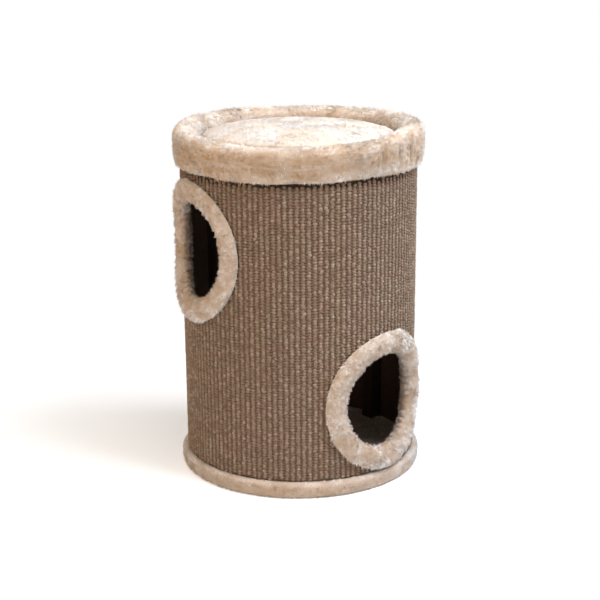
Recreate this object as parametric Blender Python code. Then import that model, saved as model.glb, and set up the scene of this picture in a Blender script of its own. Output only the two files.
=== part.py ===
# Cat barrel: a sisal-covered tube with two padded entrances, a plush base and a bed with a loose cushion.
# Metres, +Z up. The origin lies on the floor, on the barrel's axis. The lower entrance faces -Y.
# An azimuth is counted from -Y towards +X.

import math

import bmesh
import bpy
from mathutils import Vector

# Gaps between pieces that touch
FIT = 0.0003
ROLL_FIT = 0.0006  # between the bent pieces of an entrance roll, and to the wall that it grips
CUT_PAST = 0.01  # how far a cutting tool runs past what it cuts

# Overall sizes
BARREL_RADIUS = 0.165  # over the sisal
OVERALL_HEIGHT = 0.4945  # floor to the crest of the rim

# Base
BASE_BOARD_THICKNESS = 0.015
BASE_BOARD_EDGE = 0.001  # broken edge of the sawn board
BASE_EDGE_PLUSH = 0.0062
BASE_EDGE_ROUNDING = 0.0055
FLOOR_PLUSH = 0.0041
HEM_THICKNESS = 0.002
HEM_WIDTH = 0.015  # how far the plush is turned under the board

# Barrel wall and its cover
SISAL_THICKNESS = 0.0057
WALL_THICKNESS = 0.004
SEAM_WIDTH = 0.0006  # where the two ends of a rolled sheet meet
SISAL_SEAM_AZIMUTH = 135.0

# Battens and screws
BATTEN_WIDTH = 0.02
BATTEN_DEPTH = 0.02
SEAM_BATTEN_AZIMUTH = 84.6
BACK_BATTEN_AZIMUTH = -168.4
SCREW_LENGTH = 0.04
SCREW_RADIUS = 0.002
SCREW_HEAD_RADIUS = 0.004
SCREW_HEAD_HEIGHT = 0.0027
SCREW_HEAD_LAND = 0.00045  # straight part of the head
SCREW_POINT = 0.006

# Entrances
ENTRANCE_RADIUS = 0.0785  # the cut-out, measured round the face of the sisal
LOWER_ENTRANCE_AZIMUTH = 0.0
UPPER_ENTRANCE_AZIMUTH = -107.6
LOWER_ENTRANCE_SILL = 0.0006  # from the plush floor to the lower roll
UPPER_ENTRANCE_DROP = 0.003  # from the upper roll to the rim or the top board, whichever is lower
ROLL_WIDTH = 0.0355  # along the wall
ROLL_DEPTH = 0.028  # through the wall
ROLL_LEAN = 0.64  # 0 centres the roll on the wall, 1 brings its foam level with the slot inside
ROLL_PLUSH = 0.005
ROLL_REACH = 0.003  # the middle of the roll lies this far behind the cut edge

# Bed and rim
BED_DEPTH = 0.0532  # crest of the rim to the bed's plush
BED_PLUSH = 0.0047
TOP_BOARD_THICKNESS = 0.012
WALL_RISE = 0.004  # wall over the bed's plush, or over the sisal if that ends higher
RIM_HEIGHT = 0.0705  # at the sides and the back
RIM_WIDTH = 0.0383
RIM_OVERHANG = 0.0093  # past the sisal
RIM_PLUSH = 0.006
RIM_FRONT_FOAM = 0.0196  # foam over the wall's top edge at the front, where the crest is lowest
RIM_DIP_POWER = 2.0  # a higher power gives a narrower dip
RIM_SHOULDER = 2.6  # 2 gives the crest a round outer shoulder, more a squarer one
RIM_CURL = 0.025  # height of the rounding at the rim's lower edge
SISAL_TUCK = 0.012  # how far the sisal runs up under the rim

# Cushion
CUSHION_EASE = 0.003  # between the cushion and the rim
CUSHION_HEIGHT = 0.0428
CUSHION_SEAM_HEIGHT = 0.0255  # above the cushion's underside
CUSHION_PLUSH = 0.003
CUSHION_FULLNESS = 3.2  # 2 gives an ellipse, more gives a fuller crown

# Facets
ROUND_STEPS = 52
ENTRANCE_STEPS = 36
CUSHION_STEPS = 36
SCREW_STEPS = 8
ROLL_ARC_STEPS = 10
ROLL_FOAM_STEPS = 6
RIM_ARC_STEPS = 8
RIM_FOAM_STEPS = 5
RIM_CURL_STEPS = 3
RIM_LINING_STEPS = 2
BASE_ARC_STEPS = 2
CUSHION_TOP_STEPS = 6
CUSHION_SIDE_STEPS = 3
PLUG_RINGS = 4

# Radii
sisal_inner_radius = BARREL_RADIUS - SISAL_THICKNESS
wall_outer_radius = sisal_inner_radius - FIT
wall_inner_radius = wall_outer_radius - WALL_THICKNESS
wall_middle_radius = (BARREL_RADIUS + wall_inner_radius) / 2
base_radius = BARREL_RADIUS + FIT + BASE_EDGE_PLUSH
rim_outer_radius = BARREL_RADIUS + RIM_OVERHANG
rim_inner_radius = rim_outer_radius - RIM_WIDTH
cushion_radius = rim_inner_radius - CUSHION_EASE
facet_radius = wall_inner_radius * math.cos(math.pi / ROUND_STEPS)  # to the middle of a facet inside
batten_face_radius = math.sqrt(facet_radius**2 - (BATTEN_WIDTH / 2) ** 2) - FIT
batten_middle_radius = batten_face_radius - BATTEN_DEPTH / 2

# Heights
base_board_bottom = HEM_THICKNESS + FIT
base_board_top = base_board_bottom + BASE_BOARD_THICKNESS
floor_height = base_board_top + FIT + FLOOR_PLUSH
barrel_bottom = floor_height + FIT
rim_bottom = OVERALL_HEIGHT - RIM_HEIGHT
bed_height = OVERALL_HEIGHT - BED_DEPTH
top_board_top = bed_height - BED_PLUSH - FIT
top_board_bottom = top_board_top - TOP_BOARD_THICKNESS
batten_top = top_board_bottom - FIT
sisal_top = rim_bottom + SISAL_TUCK
wall_top = max(bed_height, sisal_top) + WALL_RISE
rim_dip = OVERALL_HEIGHT - RIM_PLUSH - RIM_FRONT_FOAM - wall_top - 2 * FIT
cushion_bottom = bed_height + FIT

# Entrance places
roll_middle = ENTRANCE_RADIUS + ROLL_REACH
roll_outer = roll_middle + ROLL_WIDTH / 2
wall_half = (BARREL_RADIUS - wall_inner_radius) / 2
lower_entrance_height = floor_height + LOWER_ENTRANCE_SILL + roll_outer
upper_entrance_height = min(rim_bottom, top_board_bottom) - UPPER_ENTRANCE_DROP - roll_outer
front_azimuth = (LOWER_ENTRANCE_AZIMUTH + UPPER_ENTRANCE_AZIMUTH) / 2
entrances = {
    "lower_entrance": (LOWER_ENTRANCE_AZIMUTH, lower_entrance_height),
    "upper_entrance": (UPPER_ENTRANCE_AZIMUTH, upper_entrance_height),
}
battens = {
    "front_batten": front_azimuth,
    "seam_batten": SEAM_BATTEN_AZIMUTH,
    "back_batten": BACK_BATTEN_AZIMUTH,
}


def clear_scene():
    for thing in list(bpy.data.objects):
        bpy.data.objects.remove(thing, do_unlink=True)


def make_material(name, colour, roughness, metallic=0.0):
    material = bpy.data.materials.new(name)
    material.use_nodes = True
    shader = material.node_tree.nodes["Principled BSDF"]
    shader.inputs["Base Color"].default_value = (*colour, 1.0)
    shader.inputs["Roughness"].default_value = roughness
    shader.inputs["Metallic"].default_value = metallic
    return material


def add_object(name, mesh, material, parent=None, location=(0, 0, 0), azimuth=0.0):
    thing = bpy.data.objects.new(name, mesh)
    if material and not mesh.materials:
        mesh.materials.append(material)
    thing.location = location
    thing.rotation_euler.z = math.radians(azimuth)
    thing.parent = parent
    bpy.context.scene.collection.objects.link(thing)
    return thing


def add_empty(name, location=(0, 0, 0), parent=None):
    empty = bpy.data.objects.new(name, None)
    empty.location = location
    empty.parent = parent
    bpy.context.scene.collection.objects.link(empty)
    return empty


def finish_mesh(name, shape, smooth_angle=35.0):
    bmesh.ops.remove_doubles(shape, verts=shape.verts, dist=1e-6)
    bmesh.ops.dissolve_degenerate(shape, edges=shape.edges, dist=1e-7)
    bmesh.ops.recalc_face_normals(shape, faces=shape.faces)
    mesh = bpy.data.meshes.new(name)
    shape.to_mesh(mesh)
    shape.free()
    mesh.shade_smooth()
    mesh.set_sharp_from_angle(angle=math.radians(smooth_angle))
    return mesh


def spin_outline(outline, axis, steps):
    # A closed outline in the XZ or XY plane, turned once round an axis through the origin
    shape = bmesh.new()
    corners = [shape.verts.new(point) for point in outline]
    sides = [shape.edges.new((corners[i - 1], corners[i])) for i in range(len(corners))]
    bmesh.ops.spin(
        shape,
        geom=corners + sides,
        cent=(0, 0, 0),
        axis=axis,
        angle=2 * math.pi,
        steps=steps,
        use_merge=True,
    )
    return shape


def revolve(name, outline, steps=ROUND_STEPS):
    # An outline of (radius, height) pairs, turned round the barrel's axis
    points = [(radius, 0, height) for radius, height in outline]
    return finish_mesh(name, spin_outline(points, (0, 0, 1), steps))


def roll_onto_wall(point):
    # From the flat sheet, X along it, -Y out of its face, to the barrel's wall
    angle = point.x / BARREL_RADIUS
    radius = wall_middle_radius - point.y
    return Vector((radius * math.sin(angle), -radius * math.cos(angle), point.z))


def turn_on_wall(name, outline):
    # An outline of (reach, out) pairs, turned round an entrance on the flat sheet, then rolled
    points = [(reach, -out, 0) for reach, out in outline]
    shape = spin_outline(points, (0, 1, 0), ENTRANCE_STEPS)
    for corner in shape.verts:
        corner.co = roll_onto_wall(corner.co)
    return finish_mesh(name, shape)


def arc(centre, radii, start, end, steps):
    # Points on an ellipse from one angle to another, both ends included
    points = []
    for step in range(steps + 1):
        angle = math.radians(start + (end - start) * step / steps)
        x = centre[0] + radii[0] * math.cos(angle)
        z = centre[1] + radii[1] * math.sin(angle)
        points.append((x, z))
    return points


def cut(thing, cutters):
    for cutter in cutters:
        modifier = thing.modifiers.new(cutter.name, "BOOLEAN")
        modifier.operation = "DIFFERENCE"
        modifier.object = cutter


def make_cutter(name, mesh, location=(0, 0, 0), azimuth=0.0):
    cutter = add_object(name, mesh, None, None, location, azimuth)
    cutter.hide_render = True
    cutter.display_type = "WIRE"
    return cutter


def box_mesh(name, low, high):
    shape = bmesh.new()
    bmesh.ops.create_cube(shape, size=1.0)
    for corner in shape.verts:
        share = corner.co + Vector((0.5, 0.5, 0.5))
        corner.co = Vector(a + (b - a) * s for a, b, s in zip(low, high, share))
    return finish_mesh(name, shape)


def screw_outline(grow, head_extra):
    # A countersunk wood screw from its head at z = 0 to its point, grown evenly for its hole
    head = SCREW_HEAD_RADIUS + grow
    shank = SCREW_RADIUS + grow
    point_extra = grow * math.hypot(SCREW_RADIUS, SCREW_POINT) / SCREW_RADIUS
    return [
        (0, -head_extra),
        (head, -head_extra),
        (head, SCREW_HEAD_LAND),
        (shank, SCREW_HEAD_HEIGHT + SCREW_HEAD_LAND),
        (shank, SCREW_LENGTH - SCREW_POINT),
        (0, SCREW_LENGTH + point_extra),
    ]


def batten_place(azimuth, height):
    angle = math.radians(azimuth)
    return (batten_middle_radius * math.sin(angle), -batten_middle_radius * math.cos(angle), height)


def make_screw_holes():
    # One hole tool under the base and one over the top board at each batten
    mesh = revolve("screw_hole", screw_outline(FIT, SCREW_HEAD_RADIUS), SCREW_STEPS)
    holes = {}
    for name, azimuth in battens.items():
        base_hole = make_cutter(name + "_base_hole", mesh, batten_place(azimuth, base_board_bottom))
        top_hole = make_cutter(name + "_top_hole", mesh, batten_place(azimuth, top_board_top))
        top_hole.rotation_euler.x = math.pi
        holes[name] = (base_hole, top_hole)
    return holes


def make_screws(parent, steel):
    mesh = revolve("screw", screw_outline(0, 0), SCREW_STEPS)
    for name, azimuth in battens.items():
        side = name.split("_")[0]
        place = batten_place(azimuth, base_board_bottom)
        add_object("base_screw_" + side, mesh, steel, parent, place)
        place = batten_place(azimuth, top_board_top)
        top_screw = add_object("top_screw_" + side, mesh, steel, parent, place)
        top_screw.rotation_euler.x = math.pi


def make_base(parent, chipboard, plush, holes):
    base_holes = [pair[0] for pair in holes.values()]
    outline = [
        (0, base_board_bottom),
        (BARREL_RADIUS - BASE_BOARD_EDGE, base_board_bottom),
        (BARREL_RADIUS, base_board_bottom + BASE_BOARD_EDGE),
        (BARREL_RADIUS, base_board_top - BASE_BOARD_EDGE),
        (BARREL_RADIUS - BASE_BOARD_EDGE, base_board_top),
        (0, base_board_top),
    ]
    board = add_object("base_board", revolve("base_board", outline), chipboard, parent)
    cut(board, base_holes)

    hem_radius = BARREL_RADIUS - HEM_WIDTH
    inner_radius = BARREL_RADIUS + FIT
    round_middle = base_radius - BASE_EDGE_ROUNDING
    rounding = (BASE_EDGE_ROUNDING, BASE_EDGE_ROUNDING)
    outline = [(0, base_board_top + FIT), (inner_radius, base_board_top + FIT)]
    outline += [(inner_radius, HEM_THICKNESS), (hem_radius, HEM_THICKNESS), (hem_radius, 0)]
    outline += arc((round_middle, BASE_EDGE_ROUNDING), rounding, -90, 0, BASE_ARC_STEPS)
    outline += arc((round_middle, floor_height - BASE_EDGE_ROUNDING), rounding, 0, 90, BASE_ARC_STEPS)
    outline += [(0, floor_height)]
    cover = add_object("base_plush", revolve("base_plush", outline), plush, parent)
    cut(cover, base_holes)


def make_battens(parent, pine, holes):
    half = BATTEN_WIDTH / 2
    depth = BATTEN_DEPTH / 2
    mesh = box_mesh("batten", (-half, -depth, 0), (half, depth, batten_top - barrel_bottom))
    for name, azimuth in battens.items():
        place = batten_place(azimuth, barrel_bottom)
        batten = add_object(name, mesh, pine, parent, place, azimuth)
        cut(batten, holes[name])


def seam_cutter(name, azimuth, top):
    # A thin slit through the wall, open at both ends
    half = SEAM_WIDTH / 2
    low = (-half, -BARREL_RADIUS - CUT_PAST, barrel_bottom - CUT_PAST)
    high = (half, -wall_inner_radius + CUT_PAST, top + CUT_PAST)
    return make_cutter(name, box_mesh(name, low, high), (0, 0, 0), azimuth)


def entrance_cutters():
    # A round plug, turned flat in rings so that it follows the bent wall
    past = wall_half + CUT_PAST
    reaches = [ENTRANCE_RADIUS * step / PLUG_RINGS for step in range(PLUG_RINGS + 1)]
    outline = [(reach, past) for reach in reaches]
    outline += [(reach, -past) for reach in reversed(reaches)]
    mesh = turn_on_wall("entrance_plug", outline)
    return [
        make_cutter(name + "_plug", mesh, (0, 0, height), azimuth)
        for name, (azimuth, height) in entrances.items()
    ]


def tube_outline(inner, outer, bottom, top):
    return [(inner, bottom), (outer, bottom), (outer, top), (inner, top)]


def make_wall(parent, hardboard, sisal):
    plugs = entrance_cutters()
    outline = tube_outline(wall_inner_radius, wall_outer_radius, barrel_bottom, wall_top)
    wall = add_object("barrel_wall", revolve("barrel_wall", outline), hardboard, parent)
    cut(wall, plugs + [seam_cutter("wall_seam", SEAM_BATTEN_AZIMUTH, wall_top)])

    outline = tube_outline(sisal_inner_radius, BARREL_RADIUS, barrel_bottom, sisal_top)
    cover = add_object("sisal_cover", revolve("sisal_cover", outline), sisal, parent)
    cut(cover, plugs + [seam_cutter("sisal_seam", SISAL_SEAM_AZIMUTH, sisal_top)])


def make_entrance_rolls(parent, foam, plush):
    # Foam with a slot that grips the cut edge, and plush wrapped over it from face to face
    slot = wall_half + ROLL_FIT
    outside = (ROLL_WIDTH / 2, ROLL_DEPTH / 2)
    inside = (outside[0] - ROLL_PLUSH, outside[1] - ROLL_PLUSH)
    foam_size = (inside[0] - ROLL_FIT, inside[1] - ROLL_FIT)
    out = ROLL_LEAN * (foam_size[1] - slot)

    def wrap(size, slot_depth, steps):
        # Round the roll from its outer lip to its inner one. The lips lie where the slot cuts slot_depth.
        start = math.degrees(math.asin((slot - out) / slot_depth))
        end = 360 - math.degrees(math.asin((slot + out) / slot_depth))
        return arc((roll_middle, out), size, start, end, steps)

    slot_end = ENTRANCE_RADIUS - ROLL_FIT
    # The plush lies on the foam facet by facet
    foam_outline = wrap(foam_size, foam_size[1], ROLL_FOAM_STEPS) + [(slot_end, -slot), (slot_end, slot)]
    plush_outline = wrap(outside, outside[1], ROLL_ARC_STEPS)
    plush_outline += wrap(inside, foam_size[1], ROLL_FOAM_STEPS)[::-1]
    foam_mesh = turn_on_wall("entrance_foam", foam_outline)
    plush_mesh = turn_on_wall("entrance_plush", plush_outline)
    for name, (azimuth, height) in entrances.items():
        place = (0, 0, height)
        add_object(name + "_foam", foam_mesh, foam, parent, place, azimuth)
        add_object(name + "_plush", plush_mesh, plush, parent, place, azimuth)


def make_bed(parent, chipboard, plush, holes):
    radius = wall_inner_radius - FIT
    outline = tube_outline(0, radius, top_board_bottom, top_board_top)
    board = add_object("top_board", revolve("top_board", outline), chipboard, parent)
    cut(board, [pair[1] for pair in holes.values()])

    bottom = top_board_top + FIT
    outline = tube_outline(0, radius, bottom, bed_height)
    add_object("bed_plush", revolve("bed_plush", outline), plush, parent)


def turn_rim(name, outline, crest_height):
    # An outline turned round the axis. Its crest sinks at the front, where the legs over the wall shorten.
    points = [(radius, 0, height) for radius, height in outline]
    shape = spin_outline(points, (0, 0, 1), ROUND_STEPS)
    leg_start = wall_top + FIT
    for corner in shape.verts:
        from_front = math.atan2(corner.co.x, -corner.co.y) - math.radians(front_azimuth)
        facing = ((1 + math.cos(from_front)) / 2) ** RIM_DIP_POWER
        along_leg = (corner.co.z - leg_start) / (crest_height - leg_start)
        corner.co.z -= rim_dip * facing * min(1, max(0, along_leg))
    return finish_mesh(name, shape)


def crest_outline(middle, half, steps):
    # From the crest's inner side over its top to its outer side
    power = 2 / RIM_SHOULDER
    points = []
    for step in range(steps + 1):
        angle = math.pi * (1 - step / steps)
        across = math.cos(angle)
        up = math.sin(angle)
        if across > 0:
            across = across**power
            up = up**power
        points.append((middle[0] + half * across, middle[1] + half * up))
    return points


def make_rim(parent, foam, plush):
    # A rounded crest over the wall's top edge, with a leg down each side
    half = RIM_WIDTH / 2
    crest = (rim_outer_radius - half, OVERALL_HEIGHT - half)
    plush_half = half - RIM_PLUSH
    foam_half = plush_half - FIT
    leg_bottom = bed_height + FIT

    # The outer leg curls in under itself until it meets the sisal
    lip = BARREL_RADIUS + FIT
    curl_middle = (lip, rim_bottom + RIM_CURL)
    outer_curl = (rim_outer_radius - lip, RIM_CURL)
    inner_curl = (crest[0] + plush_half - lip, RIM_CURL - RIM_PLUSH)
    outline = crest_outline(crest, half, RIM_ARC_STEPS)
    outline += arc(curl_middle, outer_curl, 0, -90, RIM_CURL_STEPS)
    outline += arc(curl_middle, inner_curl, -90, 0, RIM_LINING_STEPS)
    outline += crest_outline(crest, plush_half, RIM_FOAM_STEPS)[::-1]  # facet by facet on the foam
    outline += [(crest[0] - plush_half, leg_bottom), (crest[0] - half, leg_bottom)]
    add_object("rim_plush", turn_rim("rim_plush", outline, crest[1]), plush, parent)

    slot_outer = wall_outer_radius + FIT
    slot_inner = wall_inner_radius - FIT
    outline = crest_outline(crest, foam_half, RIM_FOAM_STEPS)
    outline += [(crest[0] + foam_half, rim_bottom + RIM_CURL), (lip, sisal_top + FIT)]
    outline += [(slot_outer, sisal_top + FIT), (slot_outer, wall_top + FIT), (slot_inner, wall_top + FIT)]
    outline += [(slot_inner, leg_bottom), (crest[0] - foam_half, leg_bottom)]
    add_object("rim_foam", turn_rim("rim_foam", outline, crest[1]), foam, parent)


def crown(radius, height, base, steps):
    # A superellipse from its middle down to its edge
    power = 2 / CUSHION_FULLNESS
    points = [(0, base + height)]
    for step in range(1, steps):
        angle = math.pi / 2 * step / steps
        points.append((radius * math.sin(angle) ** power, base + height * math.cos(angle) ** power))
    points.append((radius, base))
    return points


def cushion_outline(inset):
    # Half sections of the cushion's upper and lower skins, from the middle out to the seam
    radius = cushion_radius - inset
    upper = CUSHION_HEIGHT - CUSHION_SEAM_HEIGHT - inset
    lower = CUSHION_SEAM_HEIGHT - inset
    flat = radius - lower
    top = crown(radius, upper, CUSHION_SEAM_HEIGHT, CUSHION_TOP_STEPS)
    bottom = [(0, inset)] + arc((flat, CUSHION_SEAM_HEIGHT), (lower, lower), -90, 0, CUSHION_SIDE_STEPS)
    return top, bottom


def lift_outline(outline, height):
    return [(radius, z + height) for radius, z in outline]


def make_cushion(parent, plush, filling):
    # Two plush panels that meet at a seam round the side, and a loose filling
    outer_top, outer_bottom = cushion_outline(0)
    inner_top, inner_bottom = cushion_outline(CUSHION_PLUSH)
    fill_top, fill_bottom = cushion_outline(CUSHION_PLUSH + FIT)
    outline = lift_outline(outer_top + inner_top[::-1], FIT / 2)
    add_object("cushion_top", revolve("cushion_top", outline, CUSHION_STEPS), plush, parent)
    outline = lift_outline(outer_bottom + inner_bottom[::-1], -FIT / 2)
    add_object("cushion_bottom", revolve("cushion_bottom", outline, CUSHION_STEPS), plush, parent)
    outline = fill_top + fill_bottom[::-1][1:]
    add_object("cushion_filling", revolve("cushion_filling", outline, CUSHION_STEPS), filling, parent)


def build_barrel():
    clear_scene()
    chipboard = make_material("raw chipboard", (0.42, 0.29, 0.17), 0.75)
    hardboard = make_material("bent hardboard", (0.08, 0.047, 0.03), 0.7)
    pine = make_material("dark-stained pine", (0.035, 0.022, 0.014), 0.6)
    steel = make_material("zinc-plated steel", (0.6, 0.6, 0.58), 0.35, 1.0)
    foam = make_material("polyether foam", (0.78, 0.72, 0.55), 0.9)
    filling = make_material("polyester filling", (0.85, 0.85, 0.83), 0.95)
    sisal = make_material("woven sisal", (0.22, 0.15, 0.105), 0.9)
    beige = make_material("beige plush", (0.64, 0.5, 0.37), 0.95)
    cream = make_material("cream plush", (0.85, 0.78, 0.68), 0.95)

    barrel = add_empty("cat_barrel")
    cushion_seat = add_empty("cushion_seat", (0, 0, cushion_bottom + FIT / 2), barrel)
    holes = make_screw_holes()
    make_base(barrel, chipboard, beige, holes)
    make_battens(barrel, pine, holes)
    make_screws(barrel, steel)
    make_wall(barrel, hardboard, sisal)
    make_entrance_rolls(barrel, foam, beige)
    make_bed(barrel, chipboard, cream, holes)
    make_rim(barrel, foam, beige)
    make_cushion(cushion_seat, cream, filling)


build_barrel()
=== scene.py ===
from math import asin, atan2, cos, degrees, exp, hypot, pi, radians, sin

import bmesh
import bpy
import numpy as np
from mathutils import Matrix, Vector, noise


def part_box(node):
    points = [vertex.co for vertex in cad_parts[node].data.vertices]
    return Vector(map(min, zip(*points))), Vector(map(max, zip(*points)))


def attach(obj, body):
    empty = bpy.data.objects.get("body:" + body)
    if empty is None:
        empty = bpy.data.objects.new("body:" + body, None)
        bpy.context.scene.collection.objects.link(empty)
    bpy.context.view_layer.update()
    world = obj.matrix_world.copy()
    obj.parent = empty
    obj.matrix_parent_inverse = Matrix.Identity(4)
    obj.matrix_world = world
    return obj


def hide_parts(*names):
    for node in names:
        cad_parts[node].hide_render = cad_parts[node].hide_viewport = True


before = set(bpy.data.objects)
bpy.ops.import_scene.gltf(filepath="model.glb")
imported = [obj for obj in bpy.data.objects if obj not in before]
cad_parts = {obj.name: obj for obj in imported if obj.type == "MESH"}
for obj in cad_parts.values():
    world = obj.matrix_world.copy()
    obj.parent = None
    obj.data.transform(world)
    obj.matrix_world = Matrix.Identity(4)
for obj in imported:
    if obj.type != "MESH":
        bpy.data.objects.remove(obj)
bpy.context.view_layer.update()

tiny = 1e-9  # stands in for zero

# Places that several pieces share, in metres. An azimuth is counted in degrees from -Y towards +X.
barrel = {
    "radius": 0.165,  # over the sisal
    "wallMiddle": 0.160,
    "wallTop": 0.4453,
    "bed": 0.4413,
    "front": -53.8,  # midway between the entrances
}
entrances = {
    "lower": {"azimuth": 0.0, "height": 0.1210, "inside": 1.0, "raise": 0.0, "pull": 0.0, "seed": 3.0},
    "upper": {"azimuth": -107.6, "height": 0.32175, "inside": 0.8, "raise": 0.0012, "pull": 0.0025, "seed": 11.0},
}


def polar(azimuth, radius, height):
    angle = radians(azimuth)
    return Vector((radius * sin(angle), -radius * cos(angle), height))


def clamped(value):
    return min(1.0, max(0.0, value))


def hexColour(code):
    # sRGB hex to linear light
    shares = [int(code[i:i + 2], 16) / 255 for i in (0, 2, 4)]
    linear = [s / 12.92 if s <= 0.04045 else ((s + 0.055) / 1.055) ** 2.4 for s in shares]
    return (*linear, 1.0)


def feed(tree, node, feeds):
    # Each feed is a socket to link or a plain value
    for socket, value in feeds.items():
        if isinstance(value, bpy.types.NodeSocket):
            tree.links.new(value, node.inputs[socket])
        else:
            node.inputs[socket].default_value = value


def setAll(thing, settings):
    for name, value in settings.items():
        setattr(thing, name, value)


def addNode(tree, kind, feeds=None, **settings):
    node = tree.nodes.new(kind)
    setAll(node, settings)
    feed(tree, node, feeds or {})
    return node


def fromNode(tree, kind, feeds=None, output=0, **settings):
    return addNode(tree, kind, feeds, **settings).outputs[output]


def calculate(tree, operation, *values, clamp=False):
    return fromNode(tree, "ShaderNodeMath", dict(enumerate(values)), operation=operation, use_clamp=clamp)


def vectorMath(tree, operation, first, second):
    feeds = {0: first, "Scale" if operation == "SCALE" else 1: second}
    return fromNode(tree, "ShaderNodeVectorMath", feeds, operation=operation)


def objectPlace(tree):
    return fromNode(tree, "ShaderNodeTexCoord", output="Object")


def keepPiece(name, shape, material=None, smooth=True):
    mesh = bpy.data.meshes.new(name)
    shape.to_mesh(mesh)
    shape.free()
    if smooth:
        mesh.shade_smooth()
    piece = bpy.data.objects.new(name, mesh)
    bpy.context.scene.collection.objects.link(piece)
    if material:
        mesh.materials.append(material)
    return piece


def addModifier(piece, kind, **settings):
    modifier = piece.modifiers.new(kind.lower(), kind)
    setAll(modifier, settings)
    return modifier


def applyModifiers(piece):
    graph = bpy.context.evaluated_depsgraph_get()
    made = bpy.data.meshes.new_from_object(piece.evaluated_get(graph))
    old = piece.data
    piece.modifiers.clear()
    piece.data = made
    bpy.data.meshes.remove(old)
    made.name = piece.name


def readVectors(items, field):
    values = np.empty(len(items) * 3, np.float32)
    items.foreach_get(field, values)
    return values.reshape(-1, 3)


def readNumbers(items, field):
    values = np.empty(len(items), np.int32)
    items.foreach_get(field, values)
    return values


def readCoords(mesh):
    return readVectors(mesh.vertices, "co").astype(float)


def setPoints(mesh, places):
    mesh.vertices.foreach_set("co", np.ascontiguousarray(places, np.float32).ravel())
    mesh.update()


def setChart(mesh, flat):
    # The bake's own map, with a place for each face corner
    chart = mesh.uv_layers.new(name="OFBake")
    chart.data.foreach_set("uv", flat.astype(np.float32).ravel())


def arc(centre, radii, start, end, steps):
    # Points on an ellipse from one angle to another, both ends included
    points = []
    for step in range(steps + 1):
        angle = radians(start + (end - start) * step / steps)
        points.append((centre[0] + radii[0] * cos(angle), centre[1] + radii[1] * sin(angle)))
    return points


def line(start, end, steps):
    # Points between two places, the first left out
    return [
        (start[0] + (end[0] - start[0]) * k / steps, start[1] + (end[1] - start[1]) * k / steps)
        for k in range(1, steps + 1)
    ]


# Camera, from the photograph's own perspective
view = {
    "distance": 1.6511, "height": 0.666, "azimuth": -45.4, "tilt": 14.73, "pan": 0.03, "roll": -0.4,
    "lens": 71.54, "sensor": 36.0,
}


def placeCamera():
    data = bpy.data.cameras.new("camera")
    setAll(data, {"lens": view["lens"], "sensor_width": view["sensor"]})
    camera = bpy.data.objects.new("camera", data)
    heading = Matrix.Rotation(radians(view["azimuth"] - view["pan"]), 4, "Z")
    tilt = Matrix.Rotation(radians(90 - view["tilt"]), 4, "X")
    roll = Matrix.Rotation(radians(view["roll"]), 4, "Z")
    place = Matrix.Translation(polar(view["azimuth"], view["distance"], view["height"]))
    camera.matrix_world = place @ heading @ tilt @ roll
    bpy.context.scene.collection.objects.link(camera)
    bpy.context.scene.camera = camera
    print("camera placed")


# Floor, world and lamps: a white studio with a large soft key from the front right and above
studio = {
    "ambient": 0.24, "floorColour": "f4f4f4", "floorLift": 0.30, "floorSize": 12.0, "fadeStart": 0.28, "fadeEnd": 0.85,
    "aimHeight": 0.25,
    "lamps": {
        "key": {"azimuth": 24.0, "distance": 1.45, "height": 2.0, "size": 1.4, "watts": 68.0, "colour": "e9f1ff"},
        "fill": {"azimuth": -86.0, "distance": 2.1, "height": 1.2, "size": 1.4, "watts": 24.0, "colour": "ffe4c6"},
        "top": {"azimuth": -30.0, "distance": 0.6, "height": 2.1, "size": 1.3, "watts": 17.5, "colour": "fffaf4"},
    },
}
white = (1, 1, 1, 1)


def seenRays(tree):
    # 1 for a ray that the eye follows, also by way of metal or glass, 0 for one that only lights
    path = addNode(tree, "ShaderNodeLightPath").outputs
    seen = calculate(tree, "ADD", path["Is Camera Ray"], path["Is Glossy Ray"])
    return calculate(tree, "ADD", seen, path["Is Transmission Ray"], clamp=True)


def emptyTree(owner):
    owner.use_nodes = True
    owner.node_tree.nodes.clear()
    return owner.node_tree


def whiteWorld():
    world = bpy.data.worlds.new("studio")
    tree = emptyTree(world)
    limits = {"To Min": studio["ambient"], "To Max": 1.0}
    strength = fromNode(tree, "ShaderNodeMapRange", {"Value": seenRays(tree), **limits})
    glow = fromNode(tree, "ShaderNodeBackground", {"Color": white, "Strength": strength})
    addNode(tree, "ShaderNodeOutputWorld", {"Surface": glow})
    return world


def floorMaterial():
    # Matt white paint that fades into the white beyond, so that only the object's shadow is seen
    material = bpy.data.materials.new("white studio floor")
    tree = emptyTree(material)
    seen = seenRays(tree)
    lift = calculate(tree, "MULTIPLY", seen, studio["floorLift"])
    paint = fromNode(tree, "ShaderNodeBsdfDiffuse", {"Color": hexColour(studio["floorColour"])})
    glow = fromNode(tree, "ShaderNodeEmission", {"Color": white, "Strength": lift})
    near = fromNode(tree, "ShaderNodeAddShader", {0: paint, 1: glow})
    beyond = fromNode(tree, "ShaderNodeEmission", {"Color": white, "Strength": 1.0})
    away = fromNode(tree, "ShaderNodeVectorMath", {0: objectPlace(tree)}, "Value", operation="LENGTH")
    limits = {"From Min": studio["fadeStart"], "From Max": studio["fadeEnd"]}
    fade = fromNode(tree, "ShaderNodeMapRange", {"Value": away, **limits}, interpolation_type="SMOOTHSTEP")
    share = calculate(tree, "MULTIPLY", fade, seen)
    both = fromNode(tree, "ShaderNodeMixShader", {0: share, 1: near, 2: beyond})
    addNode(tree, "ShaderNodeOutputMaterial", {"Surface": both})
    return material


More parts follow.
